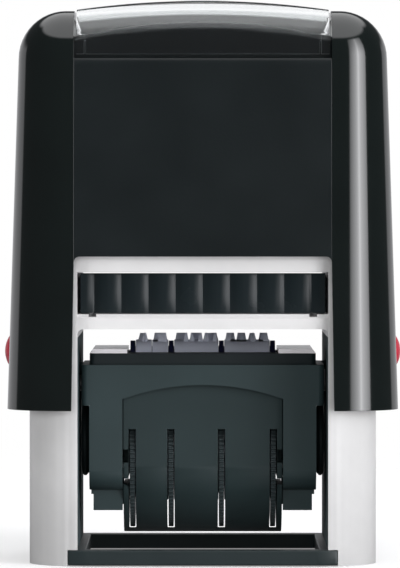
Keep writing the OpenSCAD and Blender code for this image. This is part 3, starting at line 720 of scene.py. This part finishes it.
def add_felt_pad():
    low, high = box_mm("ink_pad")
    columns, rows, layers = PAD_CELLS
    points, faces, index = [], [], {}

    def point(i, j, k):
        """One surface point of the pad, with its edges rounded and its faces slightly uneven."""
        key = (i, j, k)
        if key not in index:
            u, v, w = i / columns, j / rows, k / layers
            x, y, z = lerp(low.x, high.x, u), lerp(low.y, high.y, v), lerp(low.z, high.z, w)
            side = min(i, columns - i, j, rows - j)
            dent = PAD_EDGE * max(0, 1 - side / 2) ** 2
            wave = PAD_WAVE * math.sin(PAD_WAVE_TURNS[0] * i) * math.sin(PAD_WAVE_TURNS[1] * j)
            if k in (0, layers):
                z += (dent + PAD_WAVE + wave) * (1 if k == 0 else -1)
            index[key] = len(points)
            points.append((x, y, z))
        return index[key]

    def quad(corner, first, second):
        """A face from a corner's place in the grid and the directions of its two sides."""
        face = []
        for s, t in ((0, 0), (1, 0), (1, 1), (0, 1)):
            face.append(point(*(c + a * s + b * t for c, a, b in zip(corner, first, second))))
        return tuple(face)
    for i in range(columns):
        for j in range(rows):
            for k in (0, layers):
                faces.append(quad((i, j, k), (1, 0, 0), (0, 1, 0)))
    for k in range(layers):
        for i in range(columns):
            for j in (0, rows):
                faces.append(quad((i, j, k), (1, 0, 0), (0, 0, 1)))
        for j in range(rows):
            for i in (0, columns):
                faces.append(quad((i, j, k), (0, 1, 0), (0, 0, 1)))
    pad = add_piece("felt_pad", [(points, faces)], "ink_felt", "cartridge", "ink_pad")


# Return spring: a coil of wire between the deck and the yoke, which rides with the cap

SPRING_TURNS = 8
TURN_STEPS = 24
WIRE_R = 0.5
WIRE_SIDES = 10


def add_spring():
    low, high = box_mm("return_spring")
    coil_r = high.x - WIRE_R
    steps = SPRING_TURNS * TURN_STEPS
    loops = []
    for k in range(steps + 1):
        turn = 2 * math.pi * k / TURN_STEPS
        centre_z = lerp(low.z + WIRE_R, high.z - WIRE_R, k / steps)
        loop = []
        for j in range(WIRE_SIDES):
            around = 2 * math.pi * j / WIRE_SIDES
            out = coil_r + WIRE_R * math.cos(around)
            loop.append((out * math.cos(turn), out * math.sin(turn), centre_z + WIRE_R * math.sin(around)))
        loops.append(loop)
    coil = add_piece("coil_spring", [sweep_loops(loops)], "steel", "cap", "return_spring")
    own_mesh(coil)


# Date bands: closed belts with raised figures, which are mirror images as on any stamp

AXLE_Z = (box_mm("wheel_axle")[0].z + box_mm("wheel_axle")[1].z) / 2
BAND_T = 1.0
CHARACTER_H = 1.2
CHARACTER_LEN = 2.5
STROKE = 0.42
# Height of a stroke's sections, and half their width in strokes
STROKE_SECTIONS = ((-0.5, 1.0), (0, 1.0), (CHARACTER_H - 0.06, 0.5), (CHARACTER_H, 0.42))
FIGURE_GAP = 0.25
FIGURE_MARGIN = 0.1
BAND_EDGE = 0.12
NOSE_R = 3.3
NOSE_STEPS = 30
HUB_STEPS = 40
ROW_PITCH = 4.0
ROW_START = 1.0
# Lines of each figure, two units wide and four high
STROKES = {
    "0": [[(0, 0), (0, 4), (2, 4), (2, 0), (0, 0)]],
    "1": [[(0.5, 3), (1.2, 4), (1.2, 0)]],
    "2": [[(0, 4), (2, 4), (2, 2), (0, 2), (0, 0), (2, 0)]],
    "3": [[(0, 4), (2, 4), (2, 0), (0, 0)], [(0, 2), (2, 2)]],
    "4": [[(0, 4), (0, 2), (2, 2)], [(2, 4), (2, 0)]],
    "5": [[(2, 4), (0, 4), (0, 2), (2, 2), (2, 0), (0, 0)]],
    "6": [[(2, 4), (0, 4), (0, 0), (2, 0), (2, 2), (0, 2)]],
    "7": [[(0, 4), (2, 4), (1, 0)]],
    "8": [[(0, 0), (0, 4), (2, 4), (2, 0), (0, 0)], [(0, 2), (2, 2)]],
    "9": [[(0, 0), (2, 0), (2, 4), (0, 4), (0, 2), (2, 2)]],
    "A": [[(0, 0), (0, 3), (1, 4), (2, 3), (2, 0)], [(0, 2), (2, 2)]],
    "E": [[(2, 0), (0, 0), (0, 4), (2, 4)], [(0, 2), (1.6, 2)]],
    "G": [[(2, 4), (0, 4), (0, 0), (2, 0), (2, 2), (1, 2)]],
    "J": [[(0, 1), (0, 0), (2, 0), (2, 4)]],
    "L": [[(0, 4), (0, 0), (2, 0)]],
    "M": [[(0, 0), (0, 4), (1, 2.4), (2, 4), (2, 0)]],
    "N": [[(0, 0), (0, 4), (2, 0), (2, 4)]],
    "P": [[(0, 0), (0, 4), (2, 4), (2, 2), (0, 2)]],
    "R": [[(0, 0), (0, 4), (2, 4), (2, 2), (0, 2)], [(1, 2), (2, 0)]],
    "S": [[(2, 4), (0, 4), (0, 2), (2, 2), (2, 0), (0, 0)]],
    "U": [[(0, 4), (0, 0), (2, 0), (2, 4)]],
    "Y": [[(0, 4), (1, 2), (2, 4)], [(1, 2), (1, 0)]],
}
# Rows from the hub end of the rear run, over the nose, to the hub end of the front run
BAND_ROWS = {
    "day_tens_band": ["2", "3", "0", "1", "2", "3", "0"],
    "day_units_band": ["3", "4", "5", "6", "7", "8", "9"],
    "month_band": ["MAR", "APR", "MAY", "JUN", "JUL", "AUG", "SEP"],
    "year_band": ["2012", "2013", "2014", "2015", "2016", "2017", "2018"],
}


def stroke_bar(start, end, place):
    """A raised bar with drafted sides between two points of a figure's plane."""
    along = (end - start).normalized()
    aside = Vector((-along.y, along.x))
    loops = []
    for height, share in STROKE_SECTIONS:
        half = share * STROKE
        corners = [start - along * half + aside * half, start - along * half - aside * half,
                   end + along * half - aside * half, end + along * half + aside * half]
        loops.append([place(c.x, c.y, height) for c in corners])
    return sweep_loops(loops)


def figure_row(text, x_low, x_high, frame_at):
    """Raised figures side by side across a band, flipped top to bottom so that their print reads."""
    parts = []
    cell = (x_high - x_low) / len(text)
    width = cell - 2 * STROKE - FIGURE_GAP
    length = CHARACTER_LEN - STROKE
    for n, letter in enumerate(text):
        left = x_low + n * cell + STROKE + FIGURE_GAP / 2

        def place(u, v, height, left=left):
            return frame_at(left + u, length / 2 - v, height)
        for line in STROKES[letter]:
            ends = [Vector((u * width / 2, v * length / 4)) for u, v in line]
            parts += [stroke_bar(start, end, place) for start, end in zip(ends, ends[1:])]
    return parts


def add_band(name):
    low, high = box_mm(name)
    hub_r = AXLE_Z - low.z
    nose_z = high.z - CHARACTER_H - NOSE_R
    lean = math.asin((hub_r - NOSE_R) / (nose_z - AXLE_Z))
    angle = math.degrees(lean)
    sections = ((low.x, BAND_EDGE), (low.x + BAND_EDGE, 0), (high.x - BAND_EDGE, 0), (high.x, BAND_EDGE))

    def outline(offset):
        nose = arc((0, nose_z), NOSE_R + offset, 180 - angle, angle, NOSE_STEPS)
        hub = arc((0, AXLE_Z), hub_r + offset, angle, -180 - angle, HUB_STEPS)
        return nose + hub
    rings = [[(x, y, z) for y, z in outline(-inset)] for x, inset in sections]
    rings += [[(x, y, z) for y, z in outline(inset - BAND_T)] for x, inset in reversed(sections)]
    parts = [sweep_loops(rings + rings[:1], closed_ends=False)]
    rows = BAND_ROWS[name]
    middle = len(rows) // 2
    for n, text in enumerate(rows):
        step = n - middle
        side = (step > 0) - (step < 0)
        turn = side * (math.pi / 2 - lean)
        travel = abs(step) * ROW_PITCH + ROW_START if step else 0

        def frame_at(x, v, height, turn=turn, travel=travel, side=side):
            """Figure plane: v runs against the belt's travel, height runs outwards."""
            along = v - side * travel
            out = NOSE_R + height
            y = along * math.cos(turn) - out * math.sin(turn)
            z = along * math.sin(turn) + out * math.cos(turn)
            return (x, y, nose_z + z)
        parts += figure_row(text, low.x + FIGURE_MARGIN, high.x - FIGURE_MARGIN, frame_at)
    add_piece(name.replace("band", "belt"), parts, "band_rubber", "print_unit", name)


add_camera()
for fill, place in FILLS.items():
    add_fill(fill, *place)
add_world()
add_floor()
dress_solids()
add_cap()
add_window()
add_felt_pad()
add_spring()
for band in BAND_ROWS:
    add_band(band)

scene.view_settings.view_transform = "Standard"
